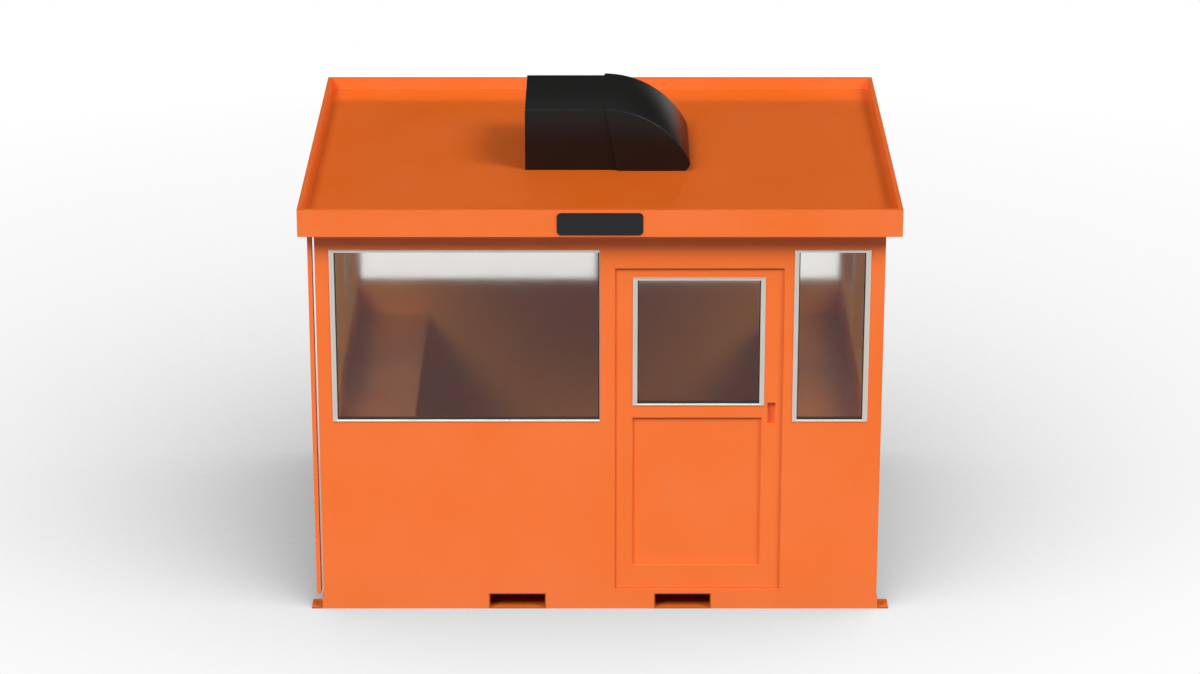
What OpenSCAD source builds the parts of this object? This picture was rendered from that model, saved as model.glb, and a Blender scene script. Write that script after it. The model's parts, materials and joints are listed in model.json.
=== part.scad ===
// Security guard booth: a welded steel cabin with a tray roof, a rooftop unit, windows all round,
// one inward-opening door and fork pockets through its base.
// Millimetres, +Z up. The origin is on the ground under the middle of the cabin.
// The front faces -Y and the door is right of the middle.

/* [Cabin] */
// Width of the cabin over the walls, along X
wall_w = 3200; // [2800:10:4000]
// Depth of the cabin over the walls, along Y
wall_d = 2440; // [2000:10:3200]
// Thickness of the walls
wall_t = 80; // [60:1:120]
// Width of the four corner posts, seen from the front
post_w = 80; // [60:1:120]

/* [Base] */
// Height of the base rails
base_h = 120; // [110:1:160]
// How far the toe lip stands out from each side wall
lip_out = 6; // [3:1:20]
// Height of the toe lip
lip_h = 72; // [40:1:105]
// Thickness of the floor board
floor_t = 22; // [15:1:30]
// Width of the two floor joists
joist_w = 60; // [40:1:100]
// Distance between the middles of the floor joists
joist_centres = 2140; // [1600:10:2400]

/* [Fork pockets] */
// Clear width of a fork pocket
pocket_w = 319; // [200:1:400]
// Distance between the middles of the pockets
pocket_centres = 956; // [700:1:1200]
// Wall thickness of a pocket's tube
pocket_wall = 6; // [4:1:10]

/* [Anchor plates] */
// How far an anchor plate reaches out from the base
plate_out = 64; // [50:1:120]
// Length of an anchor plate along the side
plate_len = 116; // [80:1:200]
// Thickness of an anchor plate
plate_t = 8; // [5:1:16]
// Bolt hole in an anchor plate
plate_hole_d = 18; // [12:1:26]

/* [Windows] */
// Height of the window openings' lower edge above the base
sill_h = 1046; // [900:1:1300]
// Height of the headers over the windows
header_h = 110; // [80:1:200]
// Width of the mullion in the middle of the side and rear windows
mullion_w = 32; // [24:1:100]
// Depth of the window frames, from the wall's outer face inwards
frame_depth = 50; // [30:1:55]
// How far the window frames stand out from the wall
frame_proud = 4; // [1:1:10]
// Face width of a frame's head member
frame_head = 18; // [10:1:40]
// Face width of the front frames' sill member
frame_sill = 12; // [8:1:40]
// Face width of the side and rear frames' sill member
frame_low = 6; // [4:1:40]
// Face width of the members at the ends of the side and rear windows
frame_side = 14; // [10:1:40]
// Face width of the members beside a mullion
frame_mullion = 6; // [4:1:40]
// Face width of the large front window's left member
large_left = 28; // [10:1:40]
// Face width of the large front window's right member, beside the centre post
large_right = 4; // [3:1:40]
// Face width of the small front window's left member
small_left = 26; // [10:1:40]
// Face width of the small front window's right member
small_right = 29; // [10:1:50]
// Thickness of the glass
glass_t = 8; // [4:1:14]
// How far the glass stands back from the wall's outer face
glass_back = 12; // [4:1:20]

/* [Door] */
// Distance of the door opening's left edge from the middle of the front
door_x = 80; // [40:1:160]
// Width of the door opening
door_w = 962; // [800:1:1000]
// Height of the door opening
door_h = 1974; // [1900:1:2400]
// Height of the lintel over the door, up to the windows' upper edge
lintel_h = 106; // [40:1:250]
// Width of the post left of the door
centre_post_w = 80; // [60:1:120]
// Width of the post between the door and the small window
door_post_w = 50; // [40:1:90]
// How far the door leaf stands back from the wall's outer face
leaf_recess = 12; // [6:1:40]
// Running gap round the door leaf
leaf_gap = 5; // [5:0.5:10]
// Width of the leaf's stile on the hinge side
hinge_stile = 100; // [70:1:140]
// Width of the leaf's stile on the lock side
lock_stile = 117; // [95:1:150]
// Height of the leaf's top rail
top_rail = 58; // [50:1:150]
// Height of the leaf's bottom rail
bottom_rail = 145; // [80:1:250]
// Height of the rail between the door window and the sunken panel
lock_rail = 74; // [40:1:160]
// Height of the door window's lower edge above the base
glazing_z = 1140; // [1000:1:1350]
// How far the door window's frame laps over the lock stile
glazing_lap = 12; // [0:1:20]
// Face width of the door frame's side members
glazing_side = 27; // [15:1:40]
// Face width of the door frame's head member
glazing_head = 19; // [10:1:40]
// Face width of the door frame's sill member
glazing_sill = 11; // [8:1:40]
// Depth of the sunken panel on each face
panel_sink = 13; // [6:1:14]
// Width of the sunken pull
pull_w = 45; // [30:1:60]
// Height of the sunken pull
pull_h = 131; // [90:1:160]
// Depth of the sunken pull
pull_sink = 24; // [12:1:28]
// Distance of the pull from the door window's frame
pull_land = 20; // [4:1:40]
// Height of the pull's lower edge above the base
pull_z = 1026; // [900:1:1100]

/* [Hinges] */
// Number of hinges
hinge_count = 3; // [2:1:4]
// Length of one half of a hinge barrel
barrel_h = 50; // [35:1:80]
// Diameter of the hinge barrels
barrel_d = 16; // [12:1:20]
// Diameter of the hinge pins
pin_d = 8; // [5:0.5:9]
// Running clearance of a pin in its barrel, on the radius
pin_fit = 0.3; // [0.2:0.05:0.5]
// How far a pin stops short of its barrel's upper end
pin_short = 5; // [2:1:15]
// Gap between the two halves of a barrel
barrel_gap = 0.6; // [0.4:0.1:1]
// Thickness of the hinge plates
hinge_plate_t = 3; // [2.5:0.5:5]
// Width of the hinge plates
hinge_plate_w = 52; // [35:1:60]
// Distance of the lowest and highest hinge from the leaf's ends
hinge_end = 200; // [120:5:400]

/* [Roof] */
// How far the roof reaches out past the walls
overhang = 85; // [70:1:200]
// Thickness of the roof deck
deck_t = 80; // [50:1:110]
// Height of the fascia boards
fascia_h = 158; // [140:1:220]
// Thickness of the fascia boards
fascia_t = 25; // [6:1:40]
// How far the fascia hangs below the roof deck
fascia_drop = 6; // [2:1:25]

/* [Rooftop unit] */
// Distance of the unit's left end from the middle of the roof
unit_left = 434; // [300:1:600]
// Depth of the unit's case, along Y
unit_d = 714; // [500:1:1000]
// Height of the unit's case
unit_h = 364; // [250:1:450]
// Length of the case along its top edge, up to the hood
case_top_len = 461; // [350:1:520]
// Length of the case along its lower edge, up to the hood
case_foot_len = 536; // [420:1:620]
// How far the case reaches into the hood
hood_lap = 30; // [10:1:60]
// How far the hood stands out from the case at the front and rear
hood_side = 18; // [4:1:25]
// How far the hood stands over the case's top
hood_rise = 6; // [3:1:15]
// Radius of the hood's crown
hood_r = 545; // [480:1:640]
// Radius of the hood's lower corner
hood_corner_r = 44; // [20:1:60]

/* [Downpipe] */
// Width of the downpipe, seen from the front
pipe_w = 24; // [20:1:40]
// Depth of the downpipe along the side wall
pipe_d = 82; // [50:1:120]
// Wall thickness of the downpipe
pipe_wall = 2; // [1.5:0.5:4]
// Gap between the downpipe and the wall
pipe_off = 15; // [8:1:30]
// Height of the downpipe's mouth above the ground
pipe_mouth = 90; // [90:1:300]
// Distance of the downpipe from the front of the wall
pipe_back = 4; // [0:1:60]
// Height of the strap that holds the downpipe
strap_h = 30; // [15:1:50]
// Distance of the strap from the roof deck
strap_down = 4; // [0:1:200]

/* [Counters] */
// Distance between the door opening and the edge of the right counter
counter_clear = 42; // [20:1:150]
// Height of a counter's top above the base
counter_h = 845; // [700:1:950]
// Thickness of a counter
counter_t = 40; // [20:1:60]

/* [Hidden] */
$fn = 48;
ORANGE = "#f77b40";
ROOF_ORANGE = "#e8702c";
FRAME_GREY = "#bcb6b1";
GLASS_BROWN = "#54443a";
UNIT_BLACK = "#1f1e1d";
FLOOR_BROWN = "#7a4a32";
STEEL = "#9a9a98";

// Limits of the cabin
x_out = wall_w / 2;
y_out = wall_d / 2;
x_post = x_out - post_w;
x_in = x_out - wall_t;
y_in = y_out - wall_t;
z_sill = base_h + sill_h;
z_door = base_h + door_h;
z_head = z_door + lintel_h;
z_top = z_head + header_h;

// Fork pocket tubes run under the floor board
tube_h = base_h - floor_t;
tube_w = pocket_w + 2 * pocket_wall;

// Front openings, from left to right
large_x1 = door_x - centre_post_w;
door_x1 = door_x + door_w;
small_x0 = door_x1 + door_post_w;

// Door leaf, which closes flush with the inner face of the wall
leaf_x0 = door_x + leaf_gap;
leaf_x1 = door_x1 - leaf_gap;
leaf_z0 = base_h + leaf_gap;
leaf_z1 = z_door - leaf_gap;
leaf_y1 = -y_in;
leaf_y0 = leaf_recess - y_out;

// Places on the door leaf, from its outer edges inwards
field_x0 = leaf_x0 + hinge_stile;
panel_x1 = leaf_x1 - lock_stile;
panel_z0 = leaf_z0 + bottom_rail;
glazing_x1 = panel_x1 + glazing_lap;
glazing_z0 = base_h + glazing_z;
glazing_z1 = leaf_z1 - top_rail;
panel_z1 = glazing_z0 - lock_rail;
pull_x0 = glazing_x1 + pull_land;
pull_z0 = base_h + pull_z;

// Hinge axis, just inside the room over the leaf's running gap
hinge_x = door_x + leaf_gap / 2;
hinge_off = barrel_d / 2 + hinge_plate_t / 2;
hinge_y = -y_in + hinge_off;
hinge_step = (leaf_z1 - leaf_z0 - 2 * hinge_end) / (hinge_count - 1);

// Roof
x_roof = x_out + overhang;
y_roof = y_out + overhang;
z_pan = z_top + deck_t;
z_fascia = z_top - fascia_drop;
z_rim = z_fascia + fascia_h;
x_deck = x_roof - fascia_t;
y_deck = y_roof - fascia_t;

// Downpipe
pipe_x = -x_out - pipe_off - pipe_w;
pipe_y = -y_out + pipe_back;

// Angle between the points of a drawn arc
arc_step = 3;

// Overlap of cutting shapes, so that no cut ends on a face
cut = 1;

// A block between two opposite corners
module block(low, high) {
    translate(low) cube(high - low);
}

// Repeats a piece at the left and right, mirrored
module both_sides() {
    children();
    mirror([1, 0, 0]) children();
}

// Repeats a piece at the four corners, mirrored
module four_corners() {
    both_sides() {
        children();
        mirror([0, 1, 0]) children();
    }
}

// Places a piece drawn on a wall: X to the right seen from outside, Y inwards, Z up from the ground
module on_front() {
    translate([0, -y_out, 0]) children();
}

module on_rear() {
    translate([0, y_out, 0]) rotate([0, 0, 180]) children();
}

module on_left() {
    translate([-x_out, 0, 0]) rotate([0, 0, -90]) children();
}

module on_right() {
    translate([x_out, 0, 0]) rotate([0, 0, 90]) children();
}

// Base

module base_rail() {
    difference() {
        block([-x_out, 0, 0], [x_out, wall_t, base_h]);
        for (side = [-1, 1])
            translate([side * pocket_centres / 2 - tube_w / 2, -cut, -cut])
                cube([tube_w, wall_t + 2 * cut, tube_h + cut]);
    }
}

module base_rail_front() {
    color(ORANGE) on_front() base_rail();
}

module base_rail_rear() {
    color(ORANGE) on_rear() base_rail();
}

module side_rail() {
    block([-x_out, -y_in, 0], [-x_in, y_in, base_h]);
    block([-x_out - lip_out, -y_out, 0], [-x_out, y_out, lip_h]);
}

module base_rail_left() {
    color(ORANGE) side_rail();
}

module base_rail_right() {
    color(ORANGE) mirror([1, 0, 0]) side_rail();
}

module fork_pocket() {
    difference() {
        block([-tube_w / 2, -y_out, 0], [tube_w / 2, y_out, tube_h]);
        block([-pocket_w / 2, -y_out - cut, pocket_wall],
              [pocket_w / 2, y_out + cut, tube_h - pocket_wall]);
    }
}

module fork_pocket_left() {
    color(ORANGE) translate([-pocket_centres / 2, 0, 0]) fork_pocket();
}

module fork_pocket_right() {
    color(ORANGE) translate([pocket_centres / 2, 0, 0]) fork_pocket();
}

module floor_joists() {
    color(ORANGE)
        both_sides()
            translate([joist_centres / 2 - joist_w / 2, -y_in, 0])
                cube([joist_w, 2 * y_in, tube_h]);
}

module floor_board() {
    color(FLOOR_BROWN) block([-x_in, -y_in, base_h - floor_t], [x_in, y_in, base_h]);
}

module anchor_plate() {
    x0 = x_out + lip_out;
    difference() {
        block([x0, y_out - plate_len, 0], [x0 + plate_out, y_out, plate_t]);
        translate([x0 + plate_out / 2, y_out - plate_len / 2, -cut])
            cylinder(d = plate_hole_d, h = plate_t + 2 * cut);
    }
}

module anchor_plates() {
    color(ORANGE) four_corners() anchor_plate();
}

// Walls

module corner_posts() {
    color(ORANGE) four_corners() block([x_post, y_in, base_h], [x_out, y_out, z_top]);
}

module front_wall_left() {
    color(ORANGE) on_front() block([-x_post, 0, base_h], [large_x1, wall_t, z_sill]);
}

module front_wall_right() {
    color(ORANGE) on_front() block([small_x0, 0, base_h], [x_post, wall_t, z_sill]);
}

module centre_post() {
    color(ORANGE) on_front() block([large_x1, 0, base_h], [door_x, wall_t, z_head]);
}

module door_post() {
    color(ORANGE) on_front() block([door_x1, 0, base_h], [small_x0, wall_t, z_head]);
}

module front_header() {
    color(ORANGE) on_front() block([-x_post, 0, z_head], [x_post, wall_t, z_top]);
}

module door_lintel() {
    color(ORANGE) on_front() block([door_x, 0, z_door], [door_x1, wall_t, z_head]);
}

module rear_wall() {
    color(ORANGE) on_rear() block([-x_post, 0, base_h], [x_post, wall_t, z_sill]);
}

module rear_header() {
    color(ORANGE) on_rear() block([-x_post, 0, z_head], [x_post, wall_t, z_top]);
}

module side_wall() {
    block([-y_in, 0, base_h], [y_in, wall_t, z_sill]);
}

module side_header() {
    block([-y_in, 0, z_head], [y_in, wall_t, z_top]);
}

module left_wall() {
    color(ORANGE) on_left() side_wall();
}

module left_header() {
    color(ORANGE) on_left() side_header();
}

module right_wall() {
    color(ORANGE) on_right() side_wall();
}

module right_header() {
    color(ORANGE) on_right() side_header();
}

module mullion() {
    block([-mullion_w / 2, 0, z_sill], [mullion_w / 2, wall_t, z_head]);
}

module window_mullions() {
    color(ORANGE) {
        on_rear() mullion();
        on_left() mullion();
        on_right() mullion();
    }
}

// Windows: a frame fills its opening, and the glass fills the frame

module window_frame(x0, x1, left, right, sill) {
    difference() {
        block([x0, -frame_proud, z_sill], [x1, frame_depth, z_head]);
        block([x0 + left, -frame_proud - cut, z_sill + sill],
              [x1 - right, frame_depth + cut, z_head - frame_head]);
    }
}

module window_pane(x0, x1, left, right, sill) {
    block([x0 + left, glass_back, z_sill + sill],
          [x1 - right, glass_back + glass_t, z_head - frame_head]);
}

module pair_of_frames(half) {
    both_sides() window_frame(mullion_w / 2, half, frame_mullion, frame_side, frame_low);
}

module pair_of_panes(half) {
    both_sides() window_pane(mullion_w / 2, half, frame_mullion, frame_side, frame_low);
}

module front_window_frames() {
    color(FRAME_GREY) on_front() {
        window_frame(-x_post, large_x1, large_left, large_right, frame_sill);
        window_frame(small_x0, x_post, small_left, small_right, frame_sill);
    }
}

module front_glass() {
    color(GLASS_BROWN) on_front() {
        window_pane(-x_post, large_x1, large_left, large_right, frame_sill);
        window_pane(small_x0, x_post, small_left, small_right, frame_sill);
    }
}

module rear_window_frames() {
    color(FRAME_GREY) on_rear() pair_of_frames(x_post);
}

module rear_glass() {
    color(GLASS_BROWN) on_rear() pair_of_panes(x_post);
}

module left_window_frames() {
    color(FRAME_GREY) on_left() pair_of_frames(y_in);
}

module left_glass() {
    color(GLASS_BROWN) on_left() pair_of_panes(y_in);
}

module right_window_frames() {
    color(FRAME_GREY) on_right() pair_of_frames(y_in);
}

module right_glass() {
    color(GLASS_BROWN) on_right() pair_of_panes(y_in);
}

// Roof

module roof_deck() {
    color(ROOF_ORANGE) difference() {
        block([-x_deck, -y_deck, z_top], [x_deck, y_deck, z_pan]);
        pipe_bore(z_top - cut, z_pan + cut);
    }
}

module long_fascia() {
    block([-x_roof, -y_roof, z_fascia], [x_roof, -y_deck, z_rim]);
}

module short_fascia() {
    block([-x_roof, -y_deck, z_fascia], [-x_deck, y_deck, z_rim]);
}

module fascia_front() {
    color(ORANGE) long_fascia();
}

module fascia_rear() {
    color(ORANGE) mirror([0, 1, 0]) long_fascia();
}

module fascia_left() {
    color(ORANGE) short_fascia();
}

module fascia_right() {
    color(ORANGE) mirror([1, 0, 0]) short_fascia();
}

// Rooftop unit, drawn in its side view: X along the unit from its left end, Y up from the deck

module unit_prism(depth) {
    translate([-unit_left, depth / 2, z_pan])
        rotate([90, 0, 0])
            linear_extrude(depth) children();
}

module unit_case() {
    unit_prism(unit_d)
        polygon([[0, 0], [case_foot_len + hood_lap, 0], [case_top_len + hood_lap, unit_h], [0, unit_h]]);
}

module rooftop_case() {
    color(UNIT_BLACK) unit_case();
}

// Points of an arc from one angle down to another
function arc(centre, r, from, to) =
    [for (a = [from:-arc_step:to]) centre + r * [cos(a), sin(a)]];

// The hood slips over the case's end. Its crown is an arc that starts level at the slanted seam
// and runs tangent into the rounded lower corner.
module rooftop_hood() {
    top = unit_h + hood_rise;
    crown = [case_top_len, top - hood_r];
    slope = asin((hood_corner_r - crown.y) / (hood_r - hood_corner_r));
    corner = crown + (hood_r - hood_corner_r) * [cos(slope), sin(slope)];
    outline = concat([[case_foot_len, 0]],
                     arc(crown, hood_r, 90, slope),
                     arc(corner, hood_corner_r, slope, -90),
                     [[corner.x, 0]]);
    color(UNIT_BLACK) difference() {
        unit_prism(unit_d + 2 * hood_side) polygon(outline);
        unit_case();
    }
}

// Downpipe at the front left corner. It drains the roof tray through a hole in the deck.

module pipe_bore(low, high) {
    block([pipe_x + pipe_wall, pipe_y + pipe_wall, low],
          [pipe_x + pipe_w - pipe_wall, pipe_y + pipe_d - pipe_wall, high]);
}

module pipe_strap() {
    z1 = z_top - strap_down;
    block([pipe_x + pipe_w, pipe_y + pipe_wall, z1 - strap_h],
          [-x_out, pipe_y + pipe_d - pipe_wall, z1]);
}

module downpipe() {
    color(ORANGE) {
        difference() {
            block([pipe_x, pipe_y, pipe_mouth], [pipe_x + pipe_w, pipe_y + pipe_d, z_top]);
            pipe_bore(pipe_mouth - cut, z_top + cut);
        }
        pipe_strap();
    }
}

// Counters along the side walls

module counters() {
    x0 = door_x1 + counter_clear;
    z1 = base_h + counter_h;
    color(ORANGE) both_sides() block([x0, -y_in, z1 - counter_t], [x_in, y_in, z1]);
}

// Hinges, lift-off: the lower half with its pin is fixed, the upper half rides with the door

module at_hinges() {
    for (i = [0:hinge_count - 1])
        translate([hinge_x, hinge_y, leaf_z0 + hinge_end + i * hinge_step]) children();
}

module hinge_plate(side, z) {
    translate([side < 0 ? -hinge_plate_w : 0, -hinge_off, z])
        cube([hinge_plate_w, hinge_plate_t, barrel_h]);
}

module hinge_brackets() {
    color(STEEL) at_hinges() {
        translate([0, 0, -barrel_h]) cylinder(d = barrel_d, h = barrel_h);
        translate([0, 0, -cut]) cylinder(d = pin_d, h = barrel_h - pin_short + cut);
        hinge_plate(-1, -barrel_h);
    }
}

module hinge_straps() {
    color(STEEL) at_hinges() difference() {
        union() {
            translate([0, 0, barrel_gap]) cylinder(d = barrel_d, h = barrel_h);
            hinge_plate(1, barrel_gap);
        }
        translate([0, 0, -cut]) cylinder(d = pin_d + 2 * pin_fit, h = barrel_h + cut);
    }
}

// Door

module door_panel_cut(from, to) {
    block([field_x0, from, panel_z0], [panel_x1, to, panel_z1]);
}

module glazing_outline(from, to) {
    block([field_x0, from, glazing_z0], [glazing_x1, to, glazing_z1]);
}

module glazing_clear(from, to) {
    block([field_x0 + glazing_side, from, glazing_z0 + glazing_sill],
          [glazing_x1 - glazing_side, to, glazing_z1 - glazing_head]);
}

module door_leaf() {
    color(ORANGE) difference() {
        block([leaf_x0, leaf_y0, leaf_z0], [leaf_x1, leaf_y1, leaf_z1]);
        glazing_outline(leaf_y0 - cut, leaf_y1 + cut);
        door_panel_cut(leaf_y0 - cut, leaf_y0 + panel_sink);
        door_panel_cut(leaf_y1 - panel_sink, leaf_y1 + cut);
        translate([pull_x0, leaf_y0 - cut, pull_z0]) cube([pull_w, pull_sink + cut, pull_h]);
    }
}

module door_window_frame() {
    color(FRAME_GREY) difference() {
        glazing_outline(leaf_y0 - frame_proud, leaf_y1);
        glazing_clear(leaf_y0 - frame_proud - cut, leaf_y1 + cut);
    }
}

module door_glass() {
    color(GLASS_BROWN) glazing_clear(leaf_y0 + glass_back, leaf_y0 + glass_back + glass_t);
}

base_rail_front();
base_rail_rear();
base_rail_left();
base_rail_right();
fork_pocket_left();
fork_pocket_right();
floor_joists();
floor_board();
anchor_plates();
corner_posts();
front_wall_left();
front_wall_right();
centre_post();
door_post();
front_header();
door_lintel();
rear_wall();
rear_header();
left_wall();
left_header();
right_wall();
right_header();
window_mullions();
front_window_frames();
rear_window_frames();
left_window_frames();
right_window_frames();
front_glass();
rear_glass();
left_glass();
right_glass();
roof_deck();
fascia_front();
fascia_rear();
fascia_left();
fascia_right();
rooftop_case();
rooftop_hood();
downpipe();
counters();
hinge_brackets();
door_leaf();
door_window_frame();
door_glass();
hinge_straps();
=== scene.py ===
"""Security guard booth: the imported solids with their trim, finishes and a plain studio.

Lengths are metres in the frame of the solids: +X to the right, +Y from the front to the rear, +Z up.
"""
import json
import math

import bmesh
import bpy
import numpy as np
from bpy.props import FloatProperty, FloatVectorProperty, PointerProperty
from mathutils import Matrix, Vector


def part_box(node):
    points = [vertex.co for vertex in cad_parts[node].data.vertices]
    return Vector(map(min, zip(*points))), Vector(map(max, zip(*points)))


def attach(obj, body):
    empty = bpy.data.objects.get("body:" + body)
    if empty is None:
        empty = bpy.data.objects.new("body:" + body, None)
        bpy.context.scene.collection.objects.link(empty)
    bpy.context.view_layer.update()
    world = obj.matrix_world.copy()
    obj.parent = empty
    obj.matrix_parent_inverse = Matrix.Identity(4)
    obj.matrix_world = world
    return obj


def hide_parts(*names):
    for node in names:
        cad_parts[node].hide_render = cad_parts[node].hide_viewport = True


bl_info = {
    "name": "Guard booth dressing",
    "version": (1, 0, 0),
    "blender": (4, 5, 0),
    "location": "3D View > Sidebar > Booth",
    "description": "Trim, finishes and a plain studio for a security guard booth",
    "category": "Object",
}

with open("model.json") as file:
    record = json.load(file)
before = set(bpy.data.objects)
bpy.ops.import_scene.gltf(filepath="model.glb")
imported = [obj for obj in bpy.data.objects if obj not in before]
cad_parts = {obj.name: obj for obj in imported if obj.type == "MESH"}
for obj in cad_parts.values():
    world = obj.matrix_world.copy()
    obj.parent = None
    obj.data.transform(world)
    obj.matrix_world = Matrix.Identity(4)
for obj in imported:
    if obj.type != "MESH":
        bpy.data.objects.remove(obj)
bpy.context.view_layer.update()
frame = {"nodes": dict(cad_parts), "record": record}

MM = 0.001

# Edges that turn by more than this stay sharp
SHARP_EDGE = math.radians(35)

# Limits that the trim is set against, from the solids
X_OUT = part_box("corner_posts")[1].x
Y_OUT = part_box("corner_posts")[1].y
Z_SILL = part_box("rear_wall")[1].z
Z_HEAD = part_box("rear_header")[0].z
X_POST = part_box("rear_wall")[1].x
Y_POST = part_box("left_wall")[1].y
ROOF_LOW, ROOF_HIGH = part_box("fascia_front")
X_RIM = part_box("fascia_right")[0].x

# Roughness of the glossy roof, and height and roughness of the level faces on the rim and the sills,
# which take the darker roof coat as painted shade
ROOF_GLOSS = 0.14
ROOF_TOP = (ROOF_HIGH.z, ROOF_GLOSS)
SILL_TOP = (Z_SILL, 0.9)

# Wear: height of the dust, reach of the rubbed edges, and the share of paint that is gone there
DUST_HEIGHT = 340 * MM
CABIN_RUB = 10 * MM
ROOF_RUB = 12 * MM
RUBBED_SHARE = 0.6

# Share of the darker roof coat on the inner sides of the rim, as painted shade
RIM_SHADE_SHARE = 0.4

# Refraction of paint and rubber, and of glass with its film
PAINT_IOR = 1.5
GLASS_IOR = 1.36

# Hinge plates: their thickness, and the shares of their length where the two screws stand
HINGE_PLATE = 3.0 * MM
SCREW_PLACES = (0.42, 0.80)

# Lamps: degrees to the right of the front, degrees up, strength, and whether reflections show it
LAMPS = {
    "lamp_left": (-42, 45, "lamp", True),
    "lamp_right": (58, 45, "lamp", True),
    "lamp_rear": (180, 8, "rear_lamp", False),
}

# Studio: elevations where its dim walls end and its ceiling starts, and half the floor's width
WALLS_END = math.radians(25)
CEILING_START = math.radians(45)
FLOOR_REACH = 120.0
FLOOR_LINES = 5

# The floor's shade: where its light comes from, how far the booth dims it, and how strongly
LIGHT_WAY = (0.12, -0.50, 0.86)
SHADE_REACH = 8.0
SHADE_POWER = 1.25


def linear(hex_colour):
    """An sRGB hex value as linear red, green, blue and a full alpha."""
    srgb = np.array([int(hex_colour[i:i + 2], 16) for i in (1, 3, 5)]) / 255
    rgb = np.where(srgb <= 0.04045, srgb / 12.92, ((srgb + 0.055) / 1.055) ** 2.4)
    return (*rgb.tolist(), 1.0)


def tint(name, hex_colour, description):
    """A colour property whose default is an sRGB hex value."""
    return FloatVectorProperty(
        name=name, description=description, default=linear(hex_colour), size=4, subtype="COLOR",
        min=0.0, max=1.0,
    )


def length(name, mm, description):
    """A length property whose default is given in millimetres."""
    return FloatProperty(
        name=name, description=description, default=mm * MM, subtype="DISTANCE", unit="LENGTH",
    )


class BoothFinishes(bpy.types.PropertyGroup):
    """Colours of the booth's finishes."""

    wall_paint: tint("Wall paint", "#FC7B3C", "Powder coat on the walls, base and fascia")
    # The roof deck's own coat, painted darker than the wall paint as painted shade for the dim light
    # from above
    roof_shaded_paint: tint("Roof paint", "#C75C22", "Powder coat on the roof deck and level faces")
    # Painted shade: the fork pockets and anchor plates are painted darker to stand in for the shade in
    # and around them
    pocket_shade_paint: tint("Pocket paint", "#C05A1C", "Fork pockets and anchor plates, dark with grime")
    counter_paint: tint("Counter paint", "#C85223", "Powder coat on the counters, dulled by use")
    dust: tint("Dust", "#B98A66", "Road dust low on the walls")
    worn_paint: tint("Worn paint", "#D9895A", "Paint rubbed thin along upright edges")
    frame_metal: tint("Frame metal", "#E0DAD3", "Anodised window frames")
    glass: tint("Glass", "#FAF9F7", "Window glass")
    glass_light: tint("Light through glass", "#C0E4C6", "What a pane lets through of the lamps' light")
    unit_paint: tint("Unit paint", "#0B0A09", "Rooftop unit")
    rubber: tint("Rubber", "#141414", "Window gaskets")
    plate: tint("Badge plate", "#101214", "Bare plate on the front fascia")
    board_light: tint("Board, light grain", "#835140", "Early wood of the floor board")
    board_dark: tint("Board, dark grain", "#643A2D", "Late wood of the floor board")
    zinc: tint("Zinc", "#A9AAA7", "Plated hinges and screws")


class BoothTrim(bpy.types.PropertyGroup):
    """Sizes of the trim that the solids leave to this file."""

    mullion: length("Mullion", 32, "Width of the posts in the middle of the side and rear windows")
    frame_head: length("Frame head", 18, "Face width of the window frames' head members")
    frame_sill: length("Frame sill", 12, "Face width of the front frames' sill members")
    frame_low: length("Frame low", 6, "Face width of the side and rear frames' sill members")
    frame_side: length("Frame side", 14, "Face width of the side and rear frames' end members")
    frame_mullion: length("Frame mullion", 6, "Face width of the members beside a mullion")
    large_left: length("Large window, left", 28, "Face width of the large front frame's left member")
    large_right: length("Large window, right", 4, "Face width of its right member")
    small_left: length("Small window, left", 26, "Face width of the small front frame's left member")
    small_right: length("Small window, right", 29, "Face width of its right member")
    door_side: length("Door window, side", 27, "Face width of the door frame's side members")
    door_head: length("Door window, head", 19, "Face width of the door frame's head member")
    door_sill: length("Door window, sill", 11, "Face width of the door frame's sill member")
    frame_depth: length("Frame depth", 22, "Depth of the window frames behind the wall's face")
    frame_proud: length("Frame proud", 4, "How far the frames stand out from the wall")
    # The wide front gaskets are black rubber that also stands in for the shade line along the panes'
    # foot and sides: partly painted shade
    gasket_sill: length("Gasket sill", 13.5, "Face width of the front gaskets at the sill")
    gasket_side: length("Gasket side", 6, "Face width of the front gaskets at the sides")
    gasket_head: length("Gasket head", 3, "Face width of the front gaskets' heads and all others")
    glass_back: length("Glass back", 12, "How far the glass stands back from the wall's face")
    seam: length("Mitre seam", 0.5, "Gap between two frame members at a mitre")
    case_round: length("Case edge", 5, "Radius of the rooftop unit's folded edges")
    hood_slant: length("Hood slant", 75, "How far the hood's seam leans from foot to top")
    crown_radius: length("Crown radius", 545, "Radius of the hood's crown")
    corner_radius: length("Hood corner", 44, "Radius of the hood's lower corner")
    plate_width: length("Plate width", 481, "Width of the bare badge plate")
    plate_height: length("Plate height", 129, "Height of the bare badge plate")
    plate_corner: length("Plate corner", 24, "Corner radius of the bare badge plate")
    plate_thick: length("Plate thickness", 5, "Thickness of the bare badge plate")
    plate_drop: length("Plate drop", 2.5, "How far the plate lies below the fascia's middle")
    plate_edge: length("Plate edge", 1.5, "Radius of the bare badge plate's edges")
    screw_head: length("Screw head", 9, "Diameter of the hinge screws' heads")
    stop_width: length("Door stop width", 5, "Face width of the stop strip round the door opening")
    stop_depth: length("Door stop depth", 6.5, "Depth of the stop strip from the wall's face inwards")


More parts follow.
